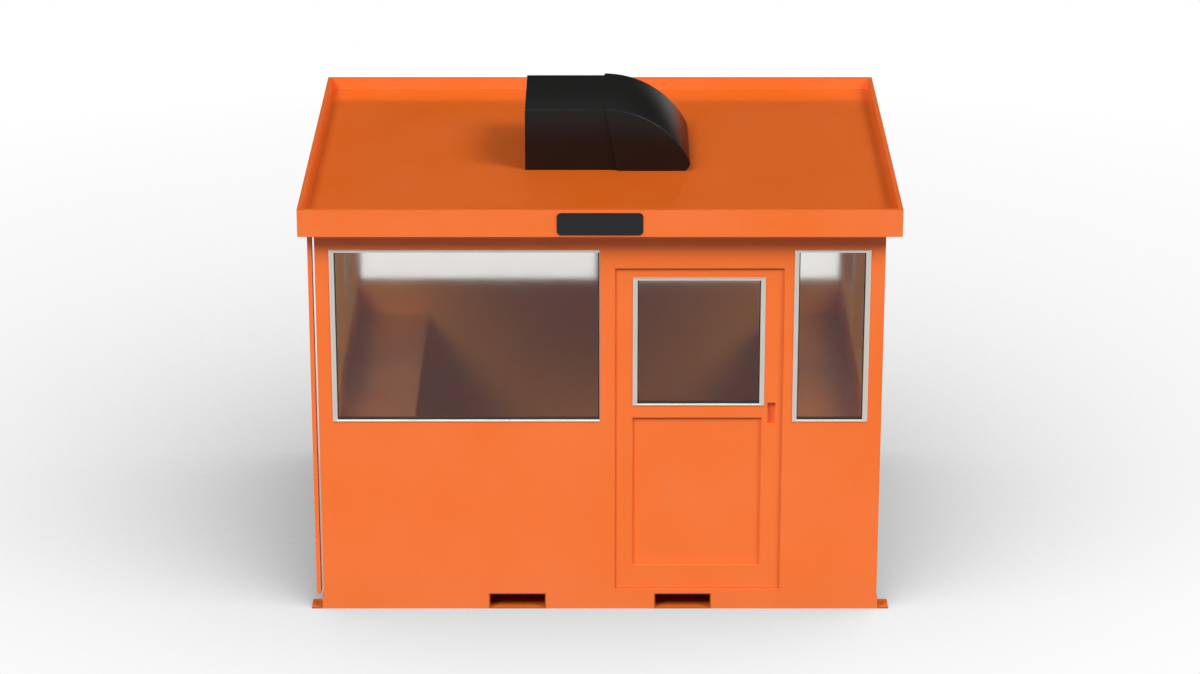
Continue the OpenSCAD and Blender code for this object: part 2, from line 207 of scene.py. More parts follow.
class BoothStudio(bpy.types.PropertyGroup):
    """Camera, light and floor of the studio."""

    lens: FloatProperty(
        name="Lens", description="Focal length on a 36 mm wide sensor", default=112.335,
        subtype="DISTANCE_CAMERA", unit="CAMERA",
    )
    camera_back: length("Camera distance", 21032.8, "How far the camera stands in front of the middle")
    camera_up: length("Camera height", 9027.9, "Height of the camera over the floor")
    camera_tilt: FloatProperty(
        name="Camera tilt", description="Angle of the camera's view below level",
        default=math.radians(20.35), subtype="ANGLE", unit="ROTATION",
    )
    horizon: FloatProperty(name="Horizon", description="Light level near the horizon", default=0.02)
    ceiling: FloatProperty(name="Ceiling", description="Light level overhead", default=0.45)
    lamp: FloatProperty(name="Lamps", description="Strength of the two front lamps", default=2.58)
    rear_lamp: FloatProperty(name="Rear lamp", description="Strength of the lamp behind", default=1.6)
    lamp_spread: FloatProperty(
        name="Lamp spread", description="Angle that a lamp fills, for soft shadows",
        default=math.radians(26), subtype="ANGLE", unit="ROTATION",
    )
    floor: tint("Floor", "#787877", "Studio floor as the light meets it")


# Shapes as whole arrays


def quads(rows, cols, closed=False):
    """Faces of a grid of points, row by row. Closed rows join their last point to their first."""
    row = np.arange(rows - 1)[:, None] * cols
    c = np.arange(cols if closed else cols - 1)[None, :]
    c_next = (c + 1) % cols
    return np.stack([row + c, row + c_next, row + cols + c_next, row + cols + c], -1).reshape(-1, 4)


def tube_faces(count, rings, points):
    """Faces of many tubes alike: each is a stack of closed rings with a flat cap at both ends."""
    start = (np.arange(count) * rings * points)[:, None]
    sides = (quads(rings, points, closed=True)[None] + start[..., None]).reshape(-1, 4)
    first = start + np.arange(points)[::-1]
    last = start + (rings - 1) * points + np.arange(points)
    return sides.tolist() + first.tolist() + last.tolist()


def fillet(corners, radius, steps=12):
    """A polygon with rounded corners.

    At a corner the arc's centre lies on the bisector, at radius / sin(half angle). The arc starts
    square to the edge before the corner and turns through the angle between the two edges.
    """
    p = np.asarray(corners, float)
    back = np.roll(p, 1, 0) - p
    ahead = np.roll(p, -1, 0) - p
    back /= np.linalg.norm(back, axis=1, keepdims=True)
    ahead /= np.linalg.norm(ahead, axis=1, keepdims=True)
    half = np.arccos(np.clip((back * ahead).sum(1, keepdims=True), -1, 1)) / 2
    middle = back + ahead
    middle /= np.linalg.norm(middle, axis=1, keepdims=True)
    centre = p + middle * radius / np.sin(half)
    first = p + back * radius / np.tan(half) - centre
    turn = np.sign(back[:, :1] * ahead[:, 1:] - back[:, 1:] * ahead[:, :1]) * (2 * half - np.pi)
    angle = np.arctan2(first[:, 1:], first[:, :1]) + turn * np.linspace(0, 1, steps)[None]
    arc = np.stack([np.cos(angle), np.sin(angle)], -1) * radius
    return (centre[:, None] + arc).reshape(-1, 2)


def rounded_prism(outline, low, high, radius, steps=5):
    """A side view carried along Y, with its two end edges rounded.

    Ring by ring the outline is drawn in by radius * (1 - sin a) while it moves inwards from the end
    by radius * (1 - cos a), for a from 0 to a right angle.
    """
    edge = np.roll(outline, -1, 0) - outline
    normal = np.stack([edge[:, 1], -edge[:, 0]], 1) / np.linalg.norm(edge, axis=1, keepdims=True)
    before = np.roll(normal, 1, 0)
    mitre = (normal + before) / (1 + (normal * before).sum(1, keepdims=True))
    x, z = outline.T
    area = (x * np.roll(z, -1) - z * np.roll(x, -1)).sum()
    mitre *= np.sign(area)
    a = np.linspace(0, np.pi / 2, steps)
    drawn_in = radius * (1 - np.sin(a))
    inwards = radius * (1 - np.cos(a))
    drawn_in = np.concatenate([drawn_in, drawn_in[::-1]])
    across = np.concatenate([low + inwards, (high - inwards)[::-1]])
    side = outline[None] - mitre[None] * drawn_in[:, None, None]
    points = np.stack([side[..., 0], np.broadcast_to(across[:, None], side.shape[:2]), side[..., 1]], -1)
    return points, tube_faces(1, len(across), len(outline))


def mitred_members(place, opening, widths, profile, seam):
    """Four members round a rectangular opening, as rings of profile points at both ends of each.

    A profile point lies at share * the member's width + an offset inside the opening's edge, and at
    its own depth. The members are cut where the insets of two of them meet, less half the seam.
    """
    x0, x1, z0, z1 = opening
    left, right, low, high = widths
    share, offset, depth = profile.T
    xl, xr = x0 + share * left + offset, x1 - share * right - offset
    zl, zh = z0 + share * low + offset, z1 - share * high - offset
    corner = np.stack([np.stack(c, -1) for c in ((xl, zl), (xr, zl), (xr, zh), (xl, zh))])
    ends = np.stack([corner, np.roll(corner, -1, 0)], 1)
    along = np.array([[1, 0], [0, 1], [-1, 0], [0, -1]], float)[:, None, None]
    ends = ends + along * np.array([0.5, -0.5])[None, :, None, None] * seam
    return place(ends[..., 0], np.broadcast_to(depth, ends.shape[:3]), ends[..., 1])


def on_wall(origin, right, inward):
    """Placement on a wall: x to the right seen from outside, depth inwards, z up."""
    origin, right, inward = (np.array(v, float) for v in (origin, right, inward))
    up = np.array([0.0, 0.0, 1.0])
    return lambda x, d, z: origin + x[..., None] * right + d[..., None] * inward + z[..., None] * up


WALLS = {
    "front": on_wall((0, -Y_OUT, 0), (1, 0, 0), (0, 1, 0)),
    "rear": on_wall((0, Y_OUT, 0), (-1, 0, 0), (0, -1, 0)),
    "left": on_wall((-X_OUT, 0, 0), (0, -1, 0), (1, 0, 0)),
    "right": on_wall((X_OUT, 0, 0), (0, 1, 0), (-1, 0, 0)),
}


def member_map(rings):
    """UV for members: u runs along the member and v round its profile, both in metres."""
    run = np.linalg.norm(rings[:, 1] - rings[:, 0], axis=-1)
    u = np.stack([np.zeros_like(run), run], 1)
    step = np.linalg.norm(np.diff(rings, axis=2, prepend=rings[:, :, :1]), axis=-1)
    return np.stack([u, np.cumsum(step, axis=2)], -1)


def piece(name, points, faces, material, body, replaced=(), uv=None):
    """Puts arrays of points and faces into a mesh object that rides on a body of the frame."""
    mesh = bpy.data.meshes.new(name)
    mesh.from_pydata(points.reshape(-1, 3).tolist(), [], faces)
    form = bmesh.new()
    form.from_mesh(mesh)
    bmesh.ops.recalc_face_normals(form, faces=form.faces)
    form.to_mesh(mesh)
    form.free()
    mesh.polygons.foreach_set("use_smooth", np.ones(len(mesh.polygons), bool))
    mesh.set_sharp_from_angle(angle=SHARP_EDGE)
    if uv is not None:
        corner = np.empty(len(mesh.loops), np.int32)
        mesh.loops.foreach_get("vertex_index", corner)
        mesh.uv_layers.new(name="along").data.foreach_set("uv", uv.reshape(-1, 2)[corner].ravel())
    mesh.materials.append(material)
    made = bpy.data.objects.new(name, mesh)
    bpy.context.scene.collection.objects.link(made)
    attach(made, body)
    if replaced:
        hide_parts(*replaced)
    return made


# Finishes


def cells(mm):
    """Noise scale for features of that size, in a space measured in metres."""
    return 1.0 / (mm * MM)


def add(tree, kind, sockets=None, **settings):
    """Adds a node. Settings are its own fields. Sockets are its inputs, each a value or an output."""
    made = tree.nodes.new("ShaderNode" + kind)
    for field, value in settings.items():
        setattr(made, field, value)
    for name, value in (sockets or {}).items():
        if isinstance(value, bpy.types.NodeSocket):
            tree.links.new(value, made.inputs[name])
        else:
            made.inputs[name].default_value = value
    return made


def blend(tree, share, first, second):
    """A colour between two, by the share of the second."""
    return add(tree, "Mix", {0: share, 6: first, 7: second}, data_type="RGBA").outputs[2]


def calc(tree, operation, *values):
    """The result of one step of arithmetic."""
    return add(tree, "Math", dict(enumerate(values)), operation=operation).outputs[0]


def finish_tree(name):
    """An empty material and its tree."""
    made = bpy.data.materials.new(name)
    made.use_nodes = True
    made.node_tree.nodes.clear()
    return made, made.node_tree


def surfaced(made, shader):
    """The material with that shader as its surface."""
    add(made.node_tree, "OutputMaterial", {"Surface": shader.outputs[0]})
    return made


def rubbed_edges(tree, place, x_edge, y_edge, reach):
    """Share of paint rubbed along upright edges, where |x| and |y| both come near an edge."""
    axes = add(tree, "SeparateXYZ", {0: place})
    near = []
    for axis, edge in ((0, x_edge), (1, y_edge)):
        size = calc(tree, "ABSOLUTE", axes.outputs[axis])
        near.append(add(tree, "MapRange", {
            "Value": size, "From Min": edge - reach, "From Max": edge,
        }, interpolation_type="SMOOTHSTEP").outputs[0])
    chips = add(tree, "TexNoise", {"Vector": place, "Scale": cells(9), "Detail": 4.0, "Roughness": 0.65})
    bare = add(tree, "MapRange", {"Value": chips.outputs[0], "From Min": 0.52, "From Max": 0.66})
    return calc(tree, "MULTIPLY", calc(tree, "MULTIPLY", *near), bare.outputs[0])


def powder_coat(name, paint, roughness, specular, dust_level=0.0, rain=0.0, top=ROOF_TOP):
    """Powder coat on folded steel.

    An even, slightly mottled film. Orange peel of 2 to 3 mm, drawn at 8 mm so that it shows, softens
    the reflections. The colour drifts a little over half a metre, road dust lies on the lowest part,
    rain leaves faint upright streaks and the upright edges are rubbed. As painted shade, the level
    faces at the top take the darker roof coat, glossy on the rim and dull on the sills, and the inner
    sides of the rim take a share of it.
    """
    finishes = bpy.context.scene.booth_finishes
    colour = getattr(finishes, paint)
    top_height, top_roughness = top
    made, tree = finish_tree(name)
    place = add(tree, "TexCoord").outputs["Object"]
    axes = add(tree, "SeparateXYZ", {0: place})

    drift = add(tree, "TexNoise", {"Vector": place, "Scale": cells(520), "Detail": 3.0})
    deeper = add(tree, "HueSaturation", {"Saturation": 1.04, "Value": 0.93, "Color": colour})
    mottled = blend(tree, drift.outputs[0], colour, deeper.outputs[0])

    long_way = add(tree, "Mapping", {"Vector": place, "Scale": (cells(38), cells(38), cells(900))})
    streak = add(tree, "TexNoise", {"Vector": long_way.outputs[0], "Scale": 1.0, "Detail": 3.0})
    streaks = add(tree, "MapRange", {
        "Value": streak.outputs[0], "From Min": 0.55, "From Max": 0.8, "To Max": rain,
    })
    low = add(tree, "MapRange", {
        "Value": axes.outputs[2], "From Min": DUST_HEIGHT, "From Max": 0.0, "To Max": dust_level,
    }, interpolation_type="SMOOTHSTEP")
    patch = add(tree, "TexNoise", {"Vector": place, "Scale": cells(70), "Detail": 5.0, "Roughness": 0.6})
    splash = calc(tree, "MULTIPLY", low.outputs[0], patch.outputs[0])
    film = calc(tree, "ADD", splash, streaks.outputs[0])
    dusty = blend(tree, film, mottled, finishes.dust)

    cabin = rubbed_edges(tree, place, X_OUT, Y_OUT, CABIN_RUB)
    roof = rubbed_edges(tree, place, ROOF_HIGH.x, -ROOF_LOW.y, ROOF_RUB)
    thin = calc(tree, "MULTIPLY", calc(tree, "MAXIMUM", cabin, roof), RUBBED_SHARE)
    worn = blend(tree, thin, dusty, finishes.worn_paint)

    # Painted shade: the level faces at the top take the darker roof coat, and the rim's inner sides a
    # share of it
    level = add(tree, "MapRange", {
        "Value": axes.outputs[2], "From Min": top_height - 1.0 * MM, "From Max": top_height - 0.3 * MM,
    }).outputs[0]
    inner = calc(tree, "COMPARE", calc(tree, "ABSOLUTE", axes.outputs[0]), X_RIM, 0.5 * MM)
    painted_shade_share = calc(tree, "MAXIMUM", level, calc(tree, "MULTIPLY", inner, RIM_SHADE_SHARE))
    dull = add(tree, "MapRange", {
        "Value": patch.outputs[0], "From Min": 0.3, "From Max": 0.7,
        "To Min": roughness * 0.88, "To Max": roughness * 1.15,
    })
    gloss = add(tree, "Mix", {0: level, 2: dull.outputs[0], 3: top_roughness})
    peel = add(tree, "TexNoise", {"Vector": place, "Scale": cells(8), "Detail": 2.0})
    bump = add(tree, "Bump", {"Height": peel.outputs[0], "Strength": 0.12, "Distance": 0.6 * MM})
    return surfaced(made, add(tree, "BsdfPrincipled", {
        "Base Color": blend(tree, painted_shade_share, worn, finishes.roof_shaded_paint), "Roughness": gloss.outputs[0],
        "Normal": bump.outputs[0], "IOR": PAINT_IOR, "Specular IOR Level": specular,
    }))


def anodised_frame():
    """Anodised aluminium extrusion: satin grey metal with fine die lines along each member."""
    made, tree = finish_tree("anodised_aluminium_extrusion")
    metal = bpy.context.scene.booth_finishes.frame_metal
    along = add(tree, "UVMap", uv_map="along").outputs[0]
    lines = add(tree, "Mapping", {"Vector": along, "Scale": (cells(400), cells(1.5), 1.0)})
    die = add(tree, "TexNoise", {"Vector": lines.outputs[0], "Scale": 1.0, "Detail": 3.0})
    place = add(tree, "TexCoord").outputs["Object"]
    cloud = add(tree, "TexNoise", {"Vector": place, "Scale": cells(160), "Detail": 3.0})
    darker = add(tree, "HueSaturation", {"Value": 0.88, "Color": metal})
    tone = blend(tree, cloud.outputs[0], metal, darker.outputs[0])
    dull = add(tree, "MapRange", {"Value": die.outputs[0], "To Min": 0.36, "To Max": 0.5})
    bump = add(tree, "Bump", {"Height": die.outputs[0], "Strength": 0.1, "Distance": 0.2 * MM})
    return surfaced(made, add(tree, "BsdfPrincipled", {
        "Base Color": tone, "Metallic": 1.0, "Roughness": dull.outputs[0], "Normal": bump.outputs[0],
    }))


def window_glass(name, sharp, blurred):
    """Tinted safety glass, with a fine obscuring film on the front panes.

    Clear enough to show a bright window behind it, but the film blurs what is inside. It reflects the
    pale floor, and a light smear left by washing changes its gloss. Lamps shine through it.
    """
    made, tree = finish_tree(name)
    finishes = bpy.context.scene.booth_finishes
    place = add(tree, "TexCoord").outputs["Object"]
    smear = add(tree, "TexNoise", {
        "Vector": place, "Scale": cells(220), "Detail": 4.0, "Distortion": 0.6,
    })
    blur = add(tree, "MapRange", {
        "Value": smear.outputs[0], "From Min": 0.3, "From Max": 0.7, "To Min": sharp, "To Max": blurred,
    })
    greyer = add(tree, "HueSaturation", {"Value": 0.97, "Color": finishes.glass})
    pane = add(tree, "BsdfPrincipled", {
        "Base Color": blend(tree, smear.outputs[0], finishes.glass, greyer.outputs[0]),
        "Roughness": blur.outputs[0], "IOR": GLASS_IOR, "Transmission Weight": 1.0,
    })
    open_pane = add(tree, "BsdfTransparent", {"Color": finishes.glass_light})
    path = add(tree, "LightPath").outputs
    passing = calc(tree, "MAXIMUM", path["Is Shadow Ray"], path["Is Diffuse Ray"])
    return surfaced(made, add(tree, "MixShader", {
        0: passing, 1: pane.outputs[0], 2: open_pane.outputs[0],
    }))


def unit_coat():
    """Black powder coat on sheet metal: satin, with a fine grain that breaks up the highlights."""
    made, tree = finish_tree("black_powder_coat")
    colour = bpy.context.scene.booth_finishes.unit_paint
    place = add(tree, "TexCoord").outputs["Object"]
    cloud = add(tree, "TexNoise", {"Vector": place, "Scale": cells(120), "Detail": 4.0})
    lighter = add(tree, "HueSaturation", {"Value": 1.35, "Color": colour})
    tone = blend(tree, cloud.outputs[0], colour, lighter.outputs[0])
    dull = add(tree, "MapRange", {"Value": cloud.outputs[0], "To Min": 0.34, "To Max": 0.40})
    grain = add(tree, "TexNoise", {"Vector": place, "Scale": cells(5), "Detail": 2.0})
    bump = add(tree, "Bump", {"Height": grain.outputs[0], "Strength": 0.08, "Distance": 0.4 * MM})
    return surfaced(made, add(tree, "BsdfPrincipled", {
        "Base Color": tone, "Roughness": dull.outputs[0], "Normal": bump.outputs[0],
        "IOR": PAINT_IOR, "Specular IOR Level": 0.36,
    }))


def gasket_rubber():
    """Extruded EPDM rubber: matt black with a chalky bloom."""
    made, tree = finish_tree("extruded_rubber")
    colour = bpy.context.scene.booth_finishes.rubber
    place = add(tree, "TexCoord").outputs["Object"]
    bloom = add(tree, "TexNoise", {"Vector": place, "Scale": cells(25), "Detail": 4.0})
    chalk = add(tree, "HueSaturation", {"Value": 1.9, "Color": colour})
    tone = blend(tree, bloom.outputs[0], colour, chalk.outputs[0])
    dull = add(tree, "MapRange", {"Value": bloom.outputs[0], "To Min": 0.65, "To Max": 0.85})
    return surfaced(made, add(tree, "BsdfPrincipled", {
        "Base Color": tone, "Roughness": dull.outputs[0], "IOR": PAINT_IOR,
    }))


def badge_enamel():
    """Enamelled steel plate: smooth black with a soft shine and a slight wave."""
    made, tree = finish_tree("black_enamel")
    colour = bpy.context.scene.booth_finishes.plate
    place = add(tree, "TexCoord").outputs["Object"]
    wave = add(tree, "TexNoise", {"Vector": place, "Scale": cells(60), "Detail": 2.0})
    lighter = add(tree, "HueSaturation", {"Value": 1.3, "Color": colour})
    tone = blend(tree, wave.outputs[0], colour, lighter.outputs[0])
    dull = add(tree, "MapRange", {"Value": wave.outputs[0], "To Min": 0.28, "To Max": 0.4})
    bump = add(tree, "Bump", {"Height": wave.outputs[0], "Strength": 0.05, "Distance": 1.0 * MM})
    return surfaced(made, add(tree, "BsdfPrincipled", {
        "Base Color": tone, "Roughness": dull.outputs[0], "Normal": bump.outputs[0],
        "IOR": PAINT_IOR, "Specular IOR Level": 0.3,
    }))


def floor_plywood():
    """Sealed plywood floor: brown grain running to the rear, a satin seal and scuffs."""
    made, tree = finish_tree("sealed_plywood")
    finishes = bpy.context.scene.booth_finishes
    place = add(tree, "TexCoord").outputs["Object"]
    grain_way = add(tree, "Mapping", {"Vector": place, "Scale": (cells(14), cells(420), cells(14))})
    grain = add(tree, "TexNoise", {
        "Vector": grain_way.outputs[0], "Scale": 1.0, "Detail": 6.0, "Distortion": 0.4,
    })
    tone = blend(tree, grain.outputs[0], finishes.board_light, finishes.board_dark)
    scuff = add(tree, "TexNoise", {"Vector": place, "Scale": cells(90), "Detail": 5.0})
    dull = add(tree, "MapRange", {"Value": scuff.outputs[0], "To Min": 0.35, "To Max": 0.65})
    bump = add(tree, "Bump", {"Height": grain.outputs[0], "Strength": 0.15, "Distance": 0.5 * MM})
    return surfaced(made, add(tree, "BsdfPrincipled", {
        "Base Color": tone, "Roughness": dull.outputs[0], "Normal": bump.outputs[0], "IOR": PAINT_IOR,
    }))


def zinc_plate():
    """Zinc-plated steel: cool grey metal with a cloudy spangle."""
    made, tree = finish_tree("zinc_plated_steel")
    colour = bpy.context.scene.booth_finishes.zinc
    place = add(tree, "TexCoord").outputs["Object"]
    spangle = add(tree, "TexVoronoi", {"Vector": place, "Scale": cells(7)})
    darker = add(tree, "HueSaturation", {"Value": 0.8, "Color": colour})
    share = add(tree, "SeparateColor", {0: spangle.outputs["Color"]})
    tone = blend(tree, share.outputs[0], colour, darker.outputs[0])
    dull = add(tree, "MapRange", {"Value": share.outputs[1], "To Min": 0.28, "To Max": 0.45})
    return surfaced(made, add(tree, "BsdfPrincipled", {
        "Base Color": tone, "Metallic": 1.0, "Roughness": dull.outputs[0],
    }))


WALL_COAT = {"roughness": 0.42, "specular": 0.5, "dust_level": 0.16, "rain": 0.07}
FINISH_MAKERS = {
    "booth_orange": lambda: powder_coat("orange_powder_coat", "wall_paint", **WALL_COAT),
    "panel_orange": lambda: powder_coat("orange_panel_coat", "wall_paint", **WALL_COAT, top=SILL_TOP),
    # Darker coat on the fork pockets and anchor plates, as painted shade
    "pocket_shaded_orange": lambda: powder_coat(
        "grimy_powder_coat", "pocket_shade_paint", roughness=0.6, specular=0.3),
    "counter_orange": lambda: powder_coat(
        "dulled_powder_coat", "counter_paint", roughness=0.6, specular=0.08),
    "roof_orange": lambda: powder_coat(
        "orange_roof_coat", "roof_shaded_paint", roughness=ROOF_GLOSS, specular=1.0),
    "frame_aluminium": anodised_frame,
    "tinted_glass": lambda: window_glass("obscured_safety_glass", sharp=0.09, blurred=0.12),
    "clear_glass": lambda: window_glass("tinted_safety_glass", sharp=0.015, blurred=0.035),
    "unit_black": unit_coat,
    "floor_board": floor_plywood,
    "hinge_steel": zinc_plate,
    "rubber": gasket_rubber,
    "plate": badge_enamel,
}

# Nodes with a finish other than their slot's
NODE_FINISHES = {
    "fork_pocket_left": "pocket_shaded_orange", "fork_pocket_right": "pocket_shaded_orange",
    "anchor_plates": "pocket_shaded_orange", "counters": "counter_orange",
    "front_wall_left": "panel_orange", "front_wall_right": "panel_orange",
    "left_wall": "panel_orange", "right_wall": "panel_orange", "rear_wall": "panel_orange",
    "left_glass": "clear_glass", "right_glass": "clear_glass", "rear_glass": "clear_glass",
}
made_finishes = {}


def finish(name):
    """A finish by its name in the table, made once."""
    if name not in made_finishes:
        made_finishes[name] = FINISH_MAKERS[name]()
    return made_finishes[name]


# Pieces


def window_table():
    """Each wall's windows: opening x0, x1 and the face widths of the left, right and sill members."""
    trim = bpy.context.scene.booth_trim
    half, side, inner, low = trim.mullion / 2, trim.frame_side, trim.frame_mullion, trim.frame_low
    pair = lambda end: [(half, end, inner, side, low), (-end, -half, side, inner, low)]
    large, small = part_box("front_wall_left"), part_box("front_wall_right")
    return {
        "front": [
            (large[0].x, large[1].x, trim.large_left, trim.large_right, trim.frame_sill),
            (small[0].x, small[1].x, trim.small_left, trim.small_right, trim.frame_sill),
        ],
        "rear": pair(X_POST),
        "left": pair(Y_POST),
        "right": pair(Y_POST),
    }


def window_ring(place, opening, widths, profile, bead):
    """The members of one window, or the strips of a gasket of the bead's widths inside them."""
    if bead:
        opening = np.array(opening) + np.array(widths) * (1, -1, 1, -1)
        widths = bead
    return mitred_members(place, opening, widths, profile, bpy.context.scene.booth_trim.seam)


def wall_rings(wall, profile, bead=None):
    """The members of all windows in one wall, one after another."""
    trim = bpy.context.scene.booth_trim
    return np.concatenate([
        window_ring(
            WALLS[wall], (x0, x1, Z_SILL, Z_HEAD), (left, right, sill, trim.frame_head), profile, bead)
        for x0, x1, left, right, sill in window_table()[wall]
    ])


def door_rings(profile, bead=None):
    """The members of the door's window, with depths from the leaf's outer face."""
    trim = bpy.context.scene.booth_trim
    low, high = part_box("door_window_frame")
    leaf = on_wall((0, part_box("door_leaf")[0].y, 0), (1, 0, 0), (0, 1, 0))
    return window_ring(
        leaf, (low.x, high.x, low.z, high.z),
        (trim.door_side, trim.door_side, trim.door_sill, trim.door_head), profile, bead)


def frame_profile():
    """Section of a frame member: share of its width, offset and depth of each point.

    A flat face stands proud of the wall. From the middle of the member a glazing bead slopes back to
    the glass, with a shadow groove between the two and eased outer edges.
    """
    trim = bpy.context.scene.booth_trim
    depth = trim.frame_depth
    face = -trim.frame_proud
    bead = face + 3.0 * MM
    return np.array([
        (0, 0, depth), (0, 0, face + 1.0 * MM), (0, 0.5 * MM, face + 0.3 * MM), (0, 1.2 * MM, face),
        (0.45, -0.6 * MM, face), (0.45, 0, face + 1.0 * MM), (0.45, 0.6 * MM, face + 0.2 * MM),
        (1, -0.8 * MM, bead), (1, 0, bead + 1.0 * MM), (1, 0, depth),
    ])


def gasket_profile():
    """Section of a gasket strip: a low bead against the glass at the frame's inner edge."""
    glass = bpy.context.scene.booth_trim.glass_back
    return np.array([
        (0, 0, glass), (0, 0, glass - 4.5 * MM), (0.17, 0, glass - 5.4 * MM),
        (0.58, 0, glass - 5.0 * MM), (0.89, 0, glass - 3.2 * MM), (1, 0, glass),
    ])


class BOOTH_OT_paint_solids(bpy.types.Operator):
    """Give every carried-over solid the finish of its slot, or its own"""

    bl_idname = "booth.paint_solids"
    bl_label = "Paint solids"

    def execute(self, context):
        for subpart in frame["record"]["subparts"]:
            node = subpart["node"]
            mesh = frame["nodes"][node].data
            mesh.materials.clear()
            mesh.materials.append(finish(NODE_FINISHES.get(node, subpart["material_slot"])))
        return {"FINISHED"}


class BOOTH_OT_window_frames(bpy.types.Operator):
    """Make the mitred window frames of the four walls and the door"""

    bl_idname = "booth.window_frames"
    bl_label = "Window frames"

    def execute(self, context):
        profile = frame_profile()
        for wall in WALLS:
            rings = wall_rings(wall, profile)
            piece(
                wall + "_window_profiles", rings, tube_faces(len(rings), 2, len(profile)),
                finish("frame_aluminium"), "booth",
                replaced=(wall + "_window_frames",), uv=member_map(rings))
        rings = door_rings(profile)
        piece(
            "door_window_profiles", rings, tube_faces(len(rings), 2, len(profile)),
            finish("frame_aluminium"), "door",
            replaced=("door_window_frame",), uv=member_map(rings))
        return {"FINISHED"}


class BOOTH_OT_gaskets(bpy.types.Operator):
    """Lay the rubber gaskets round the outside of every pane"""

    bl_idname = "booth.gaskets"
    bl_label = "Gaskets"

    def execute(self, context):
        trim = context.scene.booth_trim
        # Wide front and door gaskets: rubber strips that also paint the shade line at the panes' foot
        # and sides
        wide_shade_gaskets = (trim.gasket_side, trim.gasket_side, trim.gasket_sill, trim.gasket_head)
        narrow = (trim.gasket_head,) * 4
        profile = gasket_profile()
        sets = [
            (wall + "_gaskets", wall_rings(wall, profile, wide_shade_gaskets if wall == "front" else narrow), "booth")
            for wall in WALLS
        ]
        sets.append(("door_gasket", door_rings(profile, wide_shade_gaskets), "door"))
        for name, rings, body in sets:
            faces = tube_faces(len(rings), 2, len(profile))
            piece(name, rings, faces, finish("rubber"), body)
        return {"FINISHED"}


class BOOTH_OT_rooftop_unit(bpy.types.Operator):
    """Make the rooftop unit's case and hood with folded edges"""

    bl_idname = "booth.rooftop_unit"
    bl_label = "Rooftop unit"

    def execute(self, context):
        trim = context.scene.booth_trim
        low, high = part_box("rooftop_case")
        radius = trim.case_round
        points, faces = rounded_prism(self.case_outline(trim, low, high), low.y, high.y, radius)
        piece("unit_case", points, faces, finish("unit_black"), "booth",
              replaced=("rooftop_case",))

        low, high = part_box("rooftop_hood")
        points, faces = rounded_prism(self.hood_outline(trim, low, high), low.y, high.y, radius)
        piece("unit_hood", points, faces, finish("unit_black"), "booth",
              replaced=("rooftop_hood",))
        return {"FINISHED"}

    @staticmethod
    def case_outline(trim, low, high):
        """Side view of the case: a slanted end inside the hood and a rounded upper left edge.

        The round is a quarter circle, a little wider than the end edges' rounds that are drawn in
        from it.
        """
        turn = np.linspace(math.pi / 2, math.pi, 8)
        radius = trim.case_round * 1.3
        edge = np.stack([
            low.x + radius + radius * np.cos(turn), high.z - radius + radius * np.sin(turn)], 1)
        end = [(low.x, low.z), (high.x, low.z), (high.x - trim.hood_slant, high.z)]
        return np.concatenate([end, edge])

    @staticmethod
    def hood_outline(trim, low, high):
        """Side view of the hood.

        The crown is an arc that starts level at the seam's top. The lower corner is an arc inside it
        that touches the crown and the deck, so its centre lies on the line from the crown's centre at
        the difference of the radii. The seam's foot lies behind its top by the slant.
        """
        big, small = trim.crown_radius, trim.corner_radius
        reach = big - small
        centre_z = high.z - big
        slope = math.asin((low.z + small - centre_z) / reach)
        corner_x = high.x - small
        centre_x = corner_x - reach * math.cos(slope)
        a = np.linspace(math.pi / 2, slope, 60)
        crown = np.stack([centre_x + big * np.cos(a), centre_z + big * np.sin(a)], 1)
        b = np.linspace(slope, -math.pi / 2, 24)[1:]
        corner = np.stack([corner_x + small * np.cos(b), low.z + small + small * np.sin(b)], 1)
        foot = np.array([[centre_x + trim.hood_slant, low.z]])
        return np.concatenate([foot, crown, corner])


class BOOTH_OT_badge_plate(bpy.types.Operator):
    """Set the bare plate on the front fascia"""

    bl_idname = "booth.badge_plate"
    bl_label = "Badge plate"

    def execute(self, context):
        trim = context.scene.booth_trim
        half = trim.plate_width / 2
        middle = (ROOF_LOW.z + ROOF_HIGH.z) / 2 - trim.plate_drop
        low, high = middle - trim.plate_height / 2, middle + trim.plate_height / 2
        outline = fillet(
            [(-half, low), (half, low), (half, high), (-half, high)], trim.plate_corner)
        points, faces = rounded_prism(
            outline, ROOF_LOW.y - trim.plate_thick, ROOF_LOW.y, trim.plate_edge)
        piece("badge_plate", points, faces, finish("plate"), "booth")
        return {"FINISHED"}


class BOOTH_OT_door_stop(bpy.types.Operator):
    """Fit the painted stop strip round the door opening, in front of the leaf's running gap"""

    bl_idname = "booth.door_stop"
    bl_label = "Door stop"

    def execute(self, context):
        trim = context.scene.booth_trim
        low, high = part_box("door_lintel")
        opening = (low.x, high.x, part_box("centre_post")[0].z, low.z)
        profile = self.section(trim)
        rings = mitred_members(WALLS["front"], opening, (trim.stop_width,) * 4, profile, 0.0)
        piece(
            "door_stop", rings, tube_faces(len(rings), 2, len(profile)), finish("booth_orange"),
            "booth")
        return {"FINISHED"}

    @staticmethod
    def section(trim):
        """Section of the strip: a flat bar flush with the wall, with its inner edge eased."""
        ease = 0.8 * MM
        return np.array([
            (0, 0, trim.stop_depth), (0, 0, 0), (1, -ease, 0), (1, -0.3 * ease, 0.3 * ease),
            (1, 0, ease), (1, 0, trim.stop_depth),
        ])


